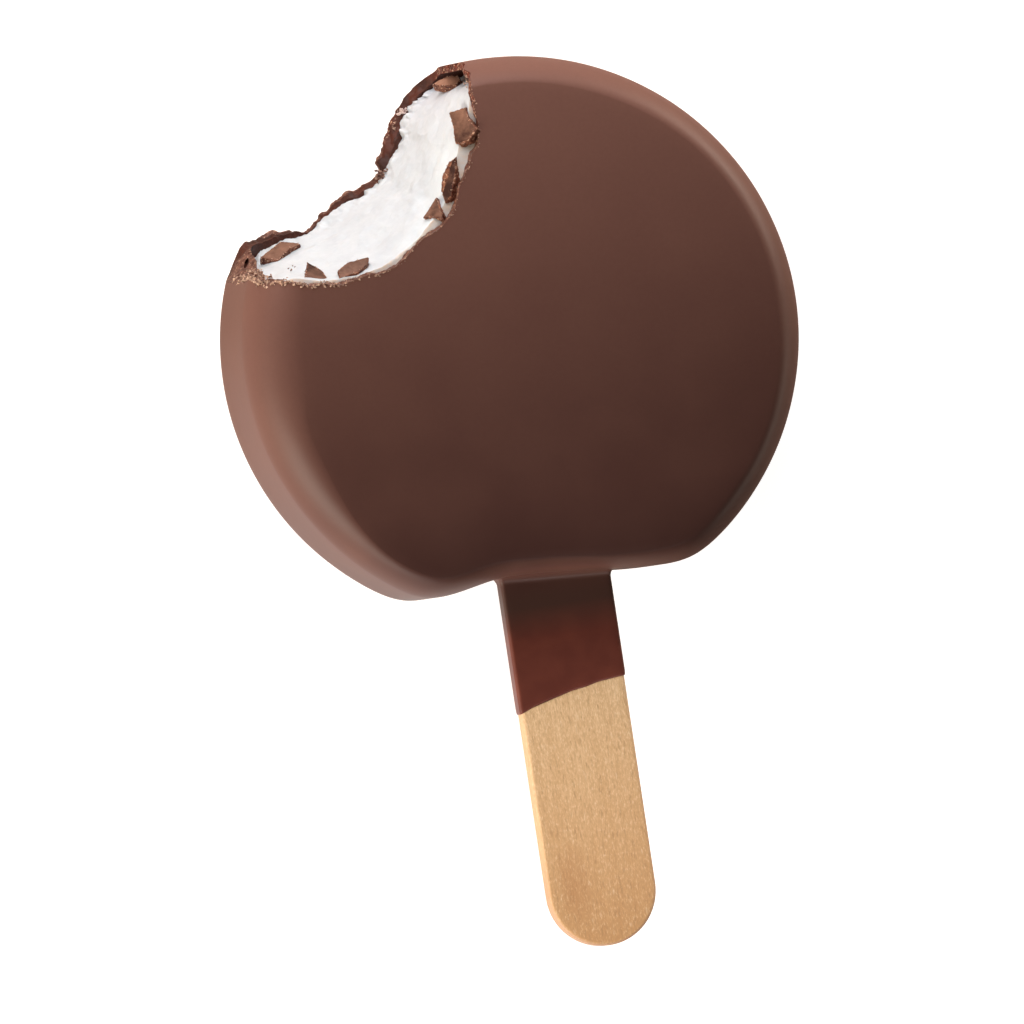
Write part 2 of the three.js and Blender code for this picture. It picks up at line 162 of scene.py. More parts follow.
# How light the face of each shard is, how much lighter it gets for each millimetre towards the left
# end of the bite and for each one up, and from where on, going down, it is all crumbly.
# These lightnesses carry painted light and shade besides each shard's own brown: the first shard is
# painted lighter where it lies in the shade of the broken top, and the lightening upwards is painted
# light from above.
SHARD_LOOKS = [
    (1.2, 0, 0, -9), (0.4, -0.12, 0, -9), (0.1, 0, 0, 0.35), (0.5, 0, 0, -9),
    (0.75, 0, 0.1, -9), (0.42, 0.08, 0.2, -9), (0.55, 0, 0.1, -9),
]
# Each shard's place along the bite, height, lean towards the front, lift off the ice cream and
# corners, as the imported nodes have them.
SHARDS = [
    (0.168, 9, 0.4, 0.6, [
        (1.4, -2.1), (0.9, -1), (0.1, 0.1), (-0.6, 0.6),
        (-1.4, 0.4), (-1.7, -0.4), (-1.2, -1.4), (0.3, -2),
    ]),
    (0.252, 20.5, 0.35, 0.7, [
        (-1.2, -2.5), (-0.1, -1.4), (2.3, 0.3), (2.4, 1.1),
        (1.5, 2.3), (-0.2, 2.7), (-1.1, 1), (-2.4, -0.3),
    ]),
    (0.362, 20.5, 0.35, 0.45, [
        (-3, 0.8), (-2.2, -0.1), (-0.2, -0.5), (1.4, -0.1), (3, 1.1), (2.1, 1.8), (-0.3, 1.6),
    ]),
    (0.426, 20.3, 0.35, 0.6, [(-1.4, -0.3), (1.7, -0.3), (0.8, 2.3), (0.4, 2.2)]),
    (0.7, 5.7, 0.35, 0.45, [
        (2.6, -0.2), (0.9, 1.5), (-1.6, 0.1), (-2.9, 0.1), (-2.7, -0.4), (-0.9, -1.8),
    ]),
    (0.708, 18.5, 0.35, 0.7, [(0.7, -2.1), (2, 1.6), (-1.1, 2.1), (-0.8, -0.2)]),
    (0.638, 19.8, 0.35, 0.7, [
        (1.9, -0.4), (2.3, 1), (-0.2, 1.1), (-1.9, 0.2), (-2.5, -1), (0.3, -1.2),
    ]),
]

# ---------------- noise and easing


def mix(a, b, share):
    return a + (b - a) * share


def ease(share):
    return share * share * (3 - 2 * share)


def progress(x, low, high):
    return np.clip((x - low) / (high - low), 0, 1)


def fade(x, low, high):
    """Eases from 0 at `low` to 1 at `high`."""
    return ease(progress(x, low, high))


def band(x, start, full, waning, end):
    """1 from `full` to `waning`, easing to 0 at `start` and at `end`."""
    return fade(x, start, full) * fade(x, end, waning)


def unit(vectors):
    return vectors / np.linalg.norm(vectors, axis=-1, keepdims=True)


def grid_value(x, y, z):
    """A repeatable number between 0 and 1 for each point of a grid."""
    wave = np.sin(x * 127.1 + y * 311.7 + z * 74.7) * 43758.5453
    return wave - np.floor(wave)


def noise(points, length):
    """Smooth noise between -1 and 1 whose bumps are `length` long."""
    scaled = points / length
    cell = np.floor(scaled)
    x, y, z = np.moveaxis(cell, -1, 0)
    share_x, share_y, share_z = np.moveaxis(ease(scaled - cell), -1, 0)

    def row(dy, dz):
        return mix(grid_value(x, y + dy, z + dz), grid_value(x + 1, y + dy, z + dz), share_x)

    low = mix(row(0, 0), row(1, 0), share_y)
    high = mix(row(0, 1), row(1, 1), share_y)
    return 2 * mix(low, high, share_z) - 1


def layered_noise(points, length, layers):
    """Noise with finer noise on it, each layer half as long and half as high as the last."""
    return sum(noise(points + 17.3 * i, length / 2**i) / 2**i for i in range(layers))


def grains(points, length):
    """Rounded lumps `length` across: 1 in the middle of a lump and 0 between lumps."""
    scaled = points / length
    cell = np.floor(scaled)
    nearest = np.full(points.shape[:-1], 9.0)
    for step in np.ndindex(3, 3, 3):
        corner = cell + np.array(step) - 1
        x, y, z = np.moveaxis(corner, -1, 0)
        jitter = np.stack([grid_value(x, y, z), grid_value(y, z, x), grid_value(z, x, y)], -1)
        nearest = np.minimum(nearest, ((corner + jitter - scaled) ** 2).sum(-1))
    return np.clip(1 - nearest, 0, 1)


# ---------------- meshes


def add_object(data, place=None):
    """Puts a mesh, a light or a camera into the scene, under its own name."""
    new = bpy.data.objects.new(data.name, data)
    if place is not None:
        new.matrix_world = place
    bpy.context.scene.collection.objects.link(new)
    return new


def make_piece(name, points, faces, materials):
    """A smooth-shaded mesh object of points in millimetres."""
    mesh = bpy.data.meshes.new(name)
    mesh.from_pydata((np.asarray(points).reshape(-1, 3) * MM).tolist(), [], faces)
    for material in materials:
        mesh.materials.append(material)
    mesh.polygons.foreach_set("use_smooth", [True] * len(mesh.polygons))
    return add_object(mesh)


def tube_faces(rows, columns):
    """The quads of a stack of closed rings of `columns` points."""
    i, j = np.meshgrid(np.arange(rows - 1), np.arange(columns), indexing="ij")
    a = (i * columns + j).ravel()
    b = (i * columns + (j + 1) % columns).ravel()
    return np.stack([a, b, b + columns, a + columns], 1).tolist()


def loft(name, rings, materials):
    """A closed skin through rings, listed from the bottom up and anticlockwise seen from above."""
    rows, columns = rings.shape[:2]
    first = list(range(columns))[::-1]
    last = list(range((rows - 1) * columns, rows * columns))
    return make_piece(name, rings, [first, *tube_faces(rows, columns), last], materials)


def add_values(piece, name, values):
    """Gives each point of the piece a value that its material can read."""
    attribute = piece.data.attributes.new(name, "FLOAT", "POINT")
    attribute.data.foreach_set("value", np.ascontiguousarray(values, np.float32).ravel())


def combine(piece, tool, operation="DIFFERENCE"):
    """Cuts tool out of piece or joins it on, and keeps the materials of both."""
    step = piece.modifiers.new("step", "BOOLEAN")
    step.operation = operation
    step.solver = "MANIFOLD"
    step.material_mode = "TRANSFER"
    step.object = tool
    graph = bpy.context.evaluated_depsgraph_get()
    mesh = bpy.data.meshes.new_from_object(piece.evaluated_get(graph))
    piece.modifiers.clear()
    old = piece.data
    piece.data = mesh
    bpy.data.meshes.remove(old)
    bpy.data.meshes.remove(tool.data)
    mesh.name = piece.name


def crisp(piece, angle):
    """Shades edges sharper than this angle as edges and the rest as smooth."""
    piece.data.polygons.foreach_set("use_smooth", [True] * len(piece.data.polygons))
    piece.data.set_sharp_from_angle(angle=math.radians(angle))


# ---------------- material nodes


class Paint:
    """Builds one material's nodes. An input is set by a value or by the socket that feeds it."""

    def __init__(self, name):
        self.material = bpy.data.materials.new(name)
        self.material.use_nodes = True
        self.tree = self.material.node_tree
        self.shader = self.tree.nodes["Principled BSDF"]
        place = self.node("ShaderNodeTexCoord").outputs["Object"]
        scale = self.node("ShaderNodeVectorMath", {0: place, "Scale": 1 / MM}, operation="SCALE")
        self.place = scale.outputs["Vector"]  # millimetres

    def node(self, kind, inputs=None, **settings):
        node = self.tree.nodes.new(kind)
        for name, value in settings.items():
            setattr(node, name, value)
        for name, value in (inputs or {}).items():
            self.feed(node.inputs[name], value)
        return node

    def feed(self, socket, value):
        if isinstance(value, bpy.types.NodeSocket):
            self.tree.links.new(value, socket)
        else:
            socket.default_value = value

    def finish(self, **inputs):
        for name, value in inputs.items():
            self.feed(self.shader.inputs[name.replace("_", " ")], value)
        return self.material

    def noise(self, length, detail=3.0, rough=0.5, place=None):
        """Noise from 0 to 1 with features `length` millimetres long."""
        inputs = {"Vector": place or self.place, "Scale": 1 / length}
        inputs |= {"Detail": detail, "Roughness": rough}
        return self.node("ShaderNodeTexNoise", inputs).outputs["Fac"]

    def spread(self, value, low, high, to_low=0.0, to_high=1.0):
        """Maps low..high to to_low..to_high, held at both ends."""
        inputs = {0: value, 1: low, 2: high, 3: to_low, 4: to_high}
        return self.node("ShaderNodeMapRange", inputs).outputs[0]

    def math(self, operation, a, b=0.0):
        return self.node("ShaderNodeMath", {0: a, 1: b}, operation=operation).outputs[0]

    def add(self, a, b):
        return self.math("ADD", a, b)

    def times(self, a, b):
        return self.math("MULTIPLY", a, b)

    def blend(self, share, a, b):
        """Colour a turning into colour b."""
        node = self.node("ShaderNodeMix", data_type="RGBA")
        self.feed(node.inputs[0], share)
        self.feed(node.inputs[6], a)
        self.feed(node.inputs[7], b)
        return node.outputs[2]

    def axis(self, name):
        return self.node("ShaderNodeSeparateXYZ", {0: self.place}).outputs[name]

    def attribute(self, name):
        return self.node("ShaderNodeAttribute", attribute_name=name).outputs["Fac"]

    def bump(self, height, depth, normal=None):
        """Relief `depth` millimetres deep where height goes from 0 to 1."""
        inputs = {"Height": height, "Distance": depth * MM, "Strength": 1.0}
        if normal is not None:
            inputs["Normal"] = normal
        return self.node("ShaderNodeBump", inputs).outputs["Normal"]


def srgb(red, green, blue):
    """A colour given as it shows on a screen, 0 to 255, in Blender's linear values."""

    def linear(value):
        share = value / 255
        return share / 12.92 if share <= 0.04045 else ((share + 0.055) / 1.055) ** 2.4

    return (linear(red), linear(green), linear(blue), 1.0)


def chocolate_skin():
    """Smooth milk chocolate, lighter towards the top as painted light and darker on the front face
    towards the stick as painted shade, and redder where it is a film on the stick.
    """
    paint = Paint("milk chocolate")
    y = paint.axis("Y")
    cloud = paint.noise(11.0, 3.0)
    fine = paint.noise(0.5, 2.0)
    # Painted light: lighter towards the top of the round and darker towards the bottom, as if the
    # light falls from above.
    base = paint.blend(paint.spread(y, -BOTTOM, TOP), srgb(76, 47, 41), srgb(121, 82, 71))
    base = paint.blend(paint.spread(cloud, 0.35, 0.65, 0.0, 0.12), base, srgb(126, 86, 72))
    base = paint.blend(paint.spread(fine, 0.3, 0.8, 0.0, 0.1), base, srgb(74, 45, 39))
    # Painted shade: the front face darkens towards the stick, a little from the middle down and more
    # near the stick.
    lower = paint.spread(y, -20, -29, 0.0, 0.4)
    lower = paint.add(paint.spread(y, 10, -14, 0.0, 0.2), lower)
    lower = paint.times(lower, paint.spread(paint.axis("Z"), 19, 22))
    base = paint.blend(lower, base, srgb(50, 29, 26))
    root = paint.spread(y, FILM_START, FILM_START - 3)
    base = paint.blend(root, base, srgb(76, 51, 44))
    thin = paint.spread(y, FILM_START - 4, FILM_START - 8)
    patches = paint.spread(paint.noise(3.0, 3.0), 0.4, 0.7)
    base = paint.blend(thin, base, paint.blend(patches, srgb(98, 50, 41), srgb(108, 56, 45)))
    rough = paint.spread(cloud, 0.3, 0.7, 0.44, 0.48)
    rough = paint.math("SUBTRACT", rough, paint.times(root, 0.12))
    relief = paint.bump(paint.noise(6.0, 2.0), 0.03)
    relief = paint.bump(fine, 0.0025, relief)
    return paint.finish(Base_Color=base, Roughness=rough, Specular_IOR_Level=0.14, Normal=relief)


GOLD = srgb(208, 162, 132)  # the grains of broken chocolate


def torn(paint, dark, light, gold_share):
    """Colour of torn chocolate: uneven browns with fine golden grains."""
    base = paint.blend(paint.spread(paint.noise(0.7, 5.0, 0.75), 0.4, 0.6), dark, light)
    grains = paint.spread(paint.noise(0.34, 3.0, 0.6), 0.57, 0.64, 0.0, gold_share)
    return paint.blend(grains, base, GOLD)


def broken_chocolate(name, dark, light, gold_share, rough):
    paint = Paint(name)
    relief = paint.bump(paint.noise(0.35, 4.0, 0.6), 0.07)
    base = torn(paint, dark, light, gold_share)
    return paint.finish(Base_Color=base, Roughness=rough, Specular_IOR_Level=0.25, Normal=relief)


def coating_edge():
    """The coating's broken edge: crumbly, redder at the top of the round, and smooth and dark
    where it slants away above the back."""
    paint = Paint("broken edge of the coating")
    crumbly = torn(paint, srgb(76, 42, 34), srgb(124, 82, 68), 0.5)
    red = torn(paint, srgb(60, 19, 12), srgb(112, 52, 38), 0.85)
    base = paint.blend(paint.spread(paint.axis("Y"), 26, 29), crumbly, red)
    height = paint.spread(paint.noise(0.9, 3.0), 0.3, 0.7, -0.25, 0.25)
    height = paint.add(paint.axis("Z"), height)
    smooth = paint.times(paint.spread(height, 0.5, 0.62), paint.spread(height, 3.8, 3.2))
    patches = paint.spread(paint.noise(2.2, 3.0), 0.4, 0.6)
    dark = paint.blend(patches, srgb(62, 32, 24), srgb(84, 42, 30))
    base = paint.blend(smooth, base, dark)
    relief = paint.bump(paint.noise(0.35, 4.0, 0.6), 0.05)
    return paint.finish(Base_Color=base, Roughness=0.42, Specular_IOR_Level=0.2, Normal=relief)


def shard_face():
    """The smooth face of a shard, each in its own brown with painted light and shade in it, and with a
    crumbly rim.
    """
    paint = Paint("smooth face of a shard")
    tone = paint.attribute("tone")
    tone = paint.add(tone, paint.spread(paint.noise(1.2, 5.0, 0.6), 0.3, 0.7, -0.3, 0.3))
    base = paint.blend(paint.spread(tone, 0, 1.4), srgb(56, 31, 24), srgb(166, 118, 95))
    rim = paint.attribute("rim")
    rim = paint.add(rim, paint.spread(paint.noise(0.5, 4.0, 0.6), 0.3, 0.7, -0.4, 0.4))
    edge = torn(paint, srgb(84, 42, 30), srgb(150, 98, 74), 0.9)
    base = paint.blend(paint.spread(rim, 0.62, 0.8), base, edge)
    relief = paint.bump(paint.noise(0.5, 3.0), 0.03)
    return paint.finish(Base_Color=base, Roughness=0.45, Specular_IOR_Level=0.15, Normal=relief)


def ice_cream(name, tint, tint_share):
    """Soft, slightly wet ice cream with patches of a tint, painted greyer towards the top of the round
    as painted shade. The rim's beige tint is painted warm shade on the strip beside the coating's
    front edge.
    """
    paint = Paint(name)
    cloud = paint.noise(3.2, 4.0, 0.6)
    base = paint.blend(paint.spread(cloud, 0.35, 0.7), srgb(216, 218, 220), srgb(204, 206, 209))
    # Painted shade: greyer towards the top of the round.
    base = paint.blend(paint.spread(paint.axis("Y"), 23, 33), base, srgb(198, 197, 202))
    # The tint in patches; on the rim its beige is painted warm shade.
    tint_patches = paint.spread(paint.noise(1.1, 4.0, 0.6), 0.3, 0.6, tint_share, tint_share * 0.35)
    base = paint.blend(tint_patches, base, tint)
    crystals = paint.bump(paint.noise(0.22, 2.0), 0.02, paint.bump(paint.noise(0.9, 3.0), 0.07))
    return paint.finish(
        Base_Color=base,
        Roughness=paint.spread(paint.noise(0.7, 3.0), 0.3, 0.7, 0.38, 0.6),
        Subsurface_Weight=0.6,
        Subsurface_Radius=(1.4, 1.2, 1.1),
        Subsurface_Scale=MM,
        Normal=crystals,
    )


def birch():
    """Planed birch: long faint streaks, short dark flecks, light pores and fine grit along the stick,
    a faint stain near its end, and sides darkened as painted shade, the more towards its round end."""
    paint = Paint("birch")

    def grain(length, detail, rough, squeeze):
        """Noise that is drawn out along the stick."""
        place = paint.node("ShaderNodeMapping", {0: paint.place, 3: (1.0, squeeze, 1.0)})
        return paint.noise(length, detail, rough, place.outputs[0])

    streaks = grain(1.1, 5.0, 0.6, 0.045)
    fibres = grain(0.22, 3.0, 0.6, 0.06)
    flecks = grain(0.3, 2.0, 0.5, 0.22)
    base = paint.blend(paint.spread(streaks, 0.3, 0.7), srgb(231, 189, 142), srgb(247, 208, 162))
    towards_end = paint.spread(paint.axis("Y"), FILM_RIGHT_END, STICK_LOW[1], 0.0, 0.85)
    base = paint.blend(towards_end, base, srgb(208, 147, 91))
    base = paint.blend(paint.spread(fibres, 0.35, 0.7, 0.0, 0.4), base, srgb(210, 164, 118))
    base = paint.blend(paint.spread(flecks, 0.59, 0.7, 0.0, 0.55), base, srgb(184, 134, 90))
    base = paint.blend(paint.spread(flecks, 0.36, 0.27, 0.0, 0.5), base, srgb(250, 220, 182))
    grit = grain(0.16, 2.0, 0.6, 0.35)
    base = paint.blend(paint.spread(grit, 0.42, 0.66, 0.0, 0.45), base, srgb(196, 146, 101))
    base = paint.blend(paint.spread(grit, 0.44, 0.3, 0.0, 0.4), base, srgb(252, 222, 184))
    across = paint.math("SUBTRACT", paint.axis("X"), STICK_X)
    along = paint.axis("Y")
    # 0 in the middle of the stain, and about 1 at its edge.
    stain_x = paint.math("POWER", paint.times(paint.add(across, 3.2), 0.45), 2)
    stain_y = paint.math("POWER", paint.times(paint.add(along, 68.5), 0.2), 2)
    stain = paint.add(stain_x, stain_y)
    stain = paint.add(stain, paint.spread(streaks, 0.3, 0.7, -0.4, 0.4))
    base = paint.blend(paint.spread(stain, 1.3, 0.0, 0.0, 0.3), base, srgb(182, 120, 72))
    round_end = paint.math("SUBTRACT", along, STICK_LOW[1] + STICK_WIDTH / 2)
    round_end = paint.math("MINIMUM", round_end, 0.0)
    plan = paint.node("ShaderNodeCombineXYZ", {0: across, 1: round_end}).outputs[0]
    from_middle = paint.node("ShaderNodeVectorMath", {0: plan}, operation="LENGTH").outputs["Value"]
    # Painted shade: the sides are darkened, the more towards the round end.
    side = paint.spread(from_middle, STICK_WIDTH / 2 - 0.35, STICK_WIDTH / 2 - 0.05, 0.0, 0.5)
    side = paint.times(side, paint.spread(along, -64, -74, 1.0, 1.7))
    base = paint.blend(side, base, srgb(160, 124, 102))
    relief = paint.bump(fibres, 0.02, paint.bump(streaks, 0.03, paint.bump(grit, 0.012)))
    return paint.finish(Base_Color=base, Roughness=0.66, Normal=relief)


def crumb_paint():
    """Chocolate crumbs, each with a brown of its own, and crumbs of ice cream, whose tone is 2."""
    paint = Paint("crumbs")
    tone = paint.attribute("tone")
    speckle = paint.spread(paint.noise(0.2, 2.0), 0.35, 0.65, -0.15, 0.15)
    base = paint.blend(paint.add(tone, speckle), srgb(92, 52, 40), srgb(210, 168, 142))
    base = paint.blend(paint.spread(tone, 1.0, 2.0), base, srgb(214, 190, 184))
    relief = paint.bump(paint.noise(0.15, 3.0), 0.03)
    return paint.finish(Base_Color=base, Roughness=0.5, Normal=relief)


def pale_floor():
    """A pale floor that looks lighter than the light it sends back up. What the bar mirrors of it
    glows towards the lower left of the bar."""
    paint = Paint("pale floor")
    base = paint.blend(paint.noise(40.0, 2.0), srgb(196, 178, 166), srgb(200, 182, 170))
    path = paint.node("ShaderNodeLightPath")
    across = paint.axis("X")
    lower_left = paint.add(paint.times(across, 0.8), paint.axis("Y"))
    glow = paint.times(paint.spread(lower_left, -22, -50), paint.spread(across, 25, 0))
    mirrored = paint.times(path.outputs["Is Glossy Ray"], glow)
    seen = paint.times(path.outputs["Is Camera Ray"], 0.9)
    return paint.finish(
        Base_Color=base,
        Roughness=0.9,
        Specular_IOR_Level=0.0,
        Emission_Color=(1, 1, 1, 1),
        Emission_Strength=paint.add(mirrored, seen),
    )


SKIN = chocolate_skin()
BREAK = coating_edge()
BROKEN = broken_chocolate("broken chocolate", srgb(74, 34, 24), srgb(132, 82, 62), 0.8, 0.5)
# Its dark browns also stand as painted shade in the crack of the left wall.
INSIDE = broken_chocolate("inner face of the chocolate", srgb(58, 30, 23), srgb(74, 38, 28), 0.04, 0.4)
FACE = shard_face()
CREAM = ice_cream("bitten ice cream", srgb(226, 222, 226), 0.25)
# Its beige tint is painted warm shade on the strip of ice cream beside the coating's front edge.
CREAM_RIM = ice_cream("ice cream rim", srgb(226, 196, 170), 0.9)
WOOD = birch()
CRUMBS = crumb_paint()
FLOOR = pale_floor()

# ---------------- the round body


def outline_radius(angle, inset):
    """How far the outline is from the centre: an oval that turns into a flat bottom with a dip."""
    oval = 1 / np.hypot(np.cos(angle) / (HALF_WIDTH - inset), np.sin(angle) / (TOP - inset))
    down = np.maximum(-np.sin(angle), 1e-6)
    across = np.cos(angle) / down * BOTTOM
    fade = np.where(across < DIP_CENTRE, DIP_LEFT, DIP_RIGHT)
    dip = DIP * np.exp(-(((across - DIP_CENTRE) / fade) ** 2))
    flat = (BOTTOM - dip - inset) / down
    both = (oval**-CORNER_POWER + flat**-CORNER_POWER) ** (-1 / CORNER_POWER)
    return np.where(np.sin(angle) < 0, both, oval)


def front_edge(angle):
    """How far the front edge reaches in along the face in one direction, and its form there."""
    degrees = np.degrees(angle) % 360
    directions, *values = np.array(FRONT_EDGE, float).T
    step = np.clip(np.searchsorted(directions, degrees, "right"), 1, len(directions) - 1)
    share = fade(degrees, directions[step - 1], directions[step])
    return [mix(value[step - 1], value[step], share) for value in values]


def edge_steps(depth, reach, power, skin, turn):
    """A rounded edge from its face (turn 0) to the side (a quarter turn), as insets and drops."""
    inset = reach - (reach - skin) * np.sin(turn) ** (2 / power)
    drop = depth - (depth - skin) * np.cos(turn) ** (2 / power)
    return inset, drop + 0 * inset


def crown_height(angle, radius, skin):
    """How far the front face rises above its edge."""
    return CROWN * (1 - (radius / outline_radius(angle, skin)) ** CROWN_POWER)


def body_rings(skin, points, edge_count, side_count, face_count):
    """The bar's body set in by `skin`, as rings from the middle of its back to that of its front."""
    angle = np.linspace(0, 2 * math.pi, points, endpoint=False)[None]
    turn = np.linspace(0, math.pi / 2, edge_count + 1)[:, None]
    inner = np.linspace(0.02, 1, face_count + 1)[:-1, None]

    inset, drop = edge_steps(BACK_DEPTH, BACK_REACH + 0 * angle, BACK_POWER, skin, turn)
    back_edge = outline_radius(angle, inset), drop
    back_face = outline_radius(angle, BACK_REACH) * inner, skin + 0 * inner * angle
    reach, power = front_edge(angle)
    inset, drop = edge_steps(FRONT_DEPTH, reach, power, skin, turn[::-1])
    radius = outline_radius(angle, inset)
    front = radius, THICKNESS - drop + crown_height(angle, radius, skin)
    radius = outline_radius(angle, reach) * inner[::-1]
    front_face = radius, THICKNESS - skin + crown_height(angle, radius, skin)
    height = np.linspace(BACK_DEPTH, THICKNESS - FRONT_DEPTH, side_count + 1)[1:-1, None] + 0 * angle
    side = outline_radius(angle, skin) + 0 * height, height

    parts = (back_face, back_edge, side, front, front_face)
    radius, height = (np.concatenate(values) for values in zip(*parts))
    return np.stack([radius * np.cos(angle), radius * np.sin(angle), height], -1)


def ring_normals(rings):
    """The outward direction at each point of a stack of closed rings."""
    around = np.roll(rings, -1, 1) - np.roll(rings, 1, 1)
    up = np.gradient(rings, axis=0)
    return unit(np.cross(around, up) + 1e-12)


def body(name, skin, detail, relief, material):
    """The body with these counts of body_rings, and relief of these lengths and depths."""
    rings = body_rings(skin, *detail)
    for length, depth in relief:
        rings = rings + ring_normals(rings) * (depth * layered_noise(rings, length, 2))[..., None]
    rings[..., 2] = np.maximum(rings[..., 2], skin)
    return loft(name, rings, [material])


# ---------------- the bite

LINE_STEPS = 200  # points between two corners of a line


def smooth_line(corners):
    """A centripetal Catmull-Rom curve through corners, as many close points."""
    corners = np.array(corners, float)
    ends = [2 * corners[:1] - corners[1:2], corners, 2 * corners[-1:] - corners[-2:-1]]
    before, start, end, after = (np.concatenate(ends)[i : i + len(corners) - 1] for i in range(4))
    steps = (start - before, end - start, after - end)
    first, span, last = (np.sqrt(np.linalg.norm(step, axis=1, keepdims=True)) for step in steps)
    leave = ((start - before) / first - (end - before) / (first + span) + (end - start) / span) * span
    arrive = ((end - start) / span - (after - start) / (span + last) + (after - end) / last) * span
    t = np.linspace(0, 1, LINE_STEPS, endpoint=False)[None, :, None]
    start, end, leave, arrive = (value[:, None] for value in (start, end, leave, arrive))
    cubic = 2 * start - 2 * end + leave + arrive
    square = 3 * end - 3 * start - 2 * leave - arrive
    curve = start + t * (leave + t * (square + t * cubic))
    return np.concatenate([curve.reshape(-1, 2), corners[-1:]])


def along_line(line, shares):
    """Points at shares of the line's length."""
    lengths = np.concatenate([[0], np.cumsum(np.linalg.norm(np.diff(line, axis=0), axis=1))])
    return np.stack([np.interp(shares * lengths[-1], lengths, line[:, k]) for k in (0, 1)], -1)


COATING_LINES = {side: smooth_line(corners) for side, corners in COATING_BITE.items()}
CREAM_LINES = {side: smooth_line(corners) for side, corners in CREAM_BITE.items()}


def out_of_bite(lines, along):
    """The direction out of the bite, level with the face."""
    step = 1e-4
    ahead = along_line(lines["front"], np.minimum(along + step, 1))
    tangent = unit(ahead - along_line(lines["front"], np.maximum(along - step, 0)))
    return np.stack([tangent[..., 1], -tangent[..., 0], np.zeros_like(along)], -1)


def bite_points(lines, along, height, share):
    """Points of a bite, `share` of the way from its back line to its front line."""
    plan = mix(along_line(lines["back"], along), along_line(lines["front"], along), share[..., None])
    return np.concatenate([plan, height[..., None]], -1)


def coating_form(along, height):
    """The broken edge of the coating with its chips."""
    turned = fade(height, *TURN_HEIGHTS)
    slanted = progress(height, 0, THICKNESS)
    share = mix(turned, slanted, fade(along, *SLANT_SHARES))
    place = bite_points(COATING_LINES, along, height, share)
    return place + out_of_bite(COATING_LINES, along) * (CHIP * noise(place, CHIP_LENGTH))[..., None]


def coating_break(along, height):
    """The same with its lumps, which are smooth and shallow where it slants away above the back."""
    place = coating_form(along, height)
    level = place * (1, 1, 0)
    ragged = 0.22 * noise(level, 0.9) + 0.12 * noise(level, 0.45)
    lumps = 0.16 * grains(place, 0.55) + 0.08 * grains(place, 0.24) + 0.05 * noise(place, 0.5) - 0.1
    smooth = band(height, 0.4, 0.7, 3.2, 3.8)
    at_back = fade(height, 3.8, 3.2)
    relief = lumps * (1 - 0.8 * smooth) + ragged * at_back
    return place + out_of_bite(COATING_LINES, along) * relief[..., None]


def cream_form(along, height):
    """The bitten ice cream, with a low ridge halfway through the bar."""
    share = progress(height, 0, THICKNESS)
    ridge = RIDGE * np.sin(math.pi * share) * np.sin(math.pi * along)
    place = bite_points(CREAM_LINES, along, height, share)
    return place + out_of_bite(CREAM_LINES, along) * ridge[..., None]


def cream_surface(along, height):
    """The same with its texture, filled out at its left end and pressed in under a shard."""
    place = cream_form(along, height)
    soft = GRAIN * noise(place, 1.6) + WAVES * noise(place, 4.5) + 0.05 * layered_noise(place, 0.8, 3)
    ridges = (1 - np.abs(noise(place + 5, 1.5))) ** 3 * fade(height, 5, 2)
    tips = noise(place * (1, 1, 0.35) + 3, 0.75) + 0.6 * noise(place * (1, 1, 0.5) + 7, 0.4)
    tips = tips * fade(height, 5.5, 2) * mix(1, 0.55, fade(along, 0.25, 0.35))
    folds = (1 - np.abs(noise(place * (1, 1, 0.5) + 11, 2.6))) ** 5
    peaks = (1 - np.abs(noise(place * (1, 1, 0.3) + 21, 0.5))) ** 2 * fade(height, 4, 2.4)
    peaks = peaks * fade(along, 0.29, 0.25)
    relief = soft + RIDGES * ridges + TIPS * tips + PEAKS * peaks + FOLDS * folds
    at_left_end = fade(place[..., 0], -28.5, -30.5) * fade(height, 17, 8)
    relief += CORNER_FILL * at_left_end
    from_dent = np.linalg.norm(place - PRESSED_PLACE, axis=-1)
    relief -= PRESSED_IN * np.exp(-(from_dent / PRESSED_REACH) ** 4)
    return place + out_of_bite(CREAM_LINES, along) * relief[..., None]


def bite_cutter(name, surface, steps, heights, material):
    """A solid whose one side is surface(along, height), and whose others lie outside the bar."""
    along, height = np.meshgrid(np.linspace(0, 1, steps), heights)
    wall = surface(along, height)
    corners = [
        (wall[:, -1, 0] - OUTSIDE, wall[:, -1, 1]),
        (np.full(heights.size, -OUTSIDE), np.full(heights.size, OUTSIDE)),
        (wall[:, 0, 0], np.full(heights.size, OUTSIDE)),
    ]
    around = np.stack([np.stack([x, y, heights], -1) for x, y in corners], 1)
    return loft(name, np.concatenate([wall, around], 1)[:, ::-1], [material])


# ---------------- the stick and its film


def stick_rings(inset, height, arc_points, side_points):
    """The stick's outline, one ring for each inset and height."""
    radius = STICK_WIDTH / 2
    turn = np.linspace(0, math.pi, arc_points)
    low = STICK_LOW[1] + radius
    high = STICK_HIGH[1] - radius
    run = np.linspace(0, 1, side_points + 2)[1:-1]
    rings = []
    for set_in, z in zip(inset, height):
        r = radius - set_in
        end = np.stack([-r * np.cos(turn), low - r * np.sin(turn)], 1)
        right = np.stack([np.full(run.size, r), mix(low, high, run)], 1)
        tip = np.stack([r * np.cos(turn), high + r * np.sin(turn)], 1)
        left = np.stack([np.full(run.size, -r), mix(high, low, run)], 1)
        plan = np.concatenate([end, right, tip, left]) + (STICK_X, 0)
        rings.append(np.concatenate([plan, np.full((len(plan), 1), z)], 1))
    return np.array(rings)


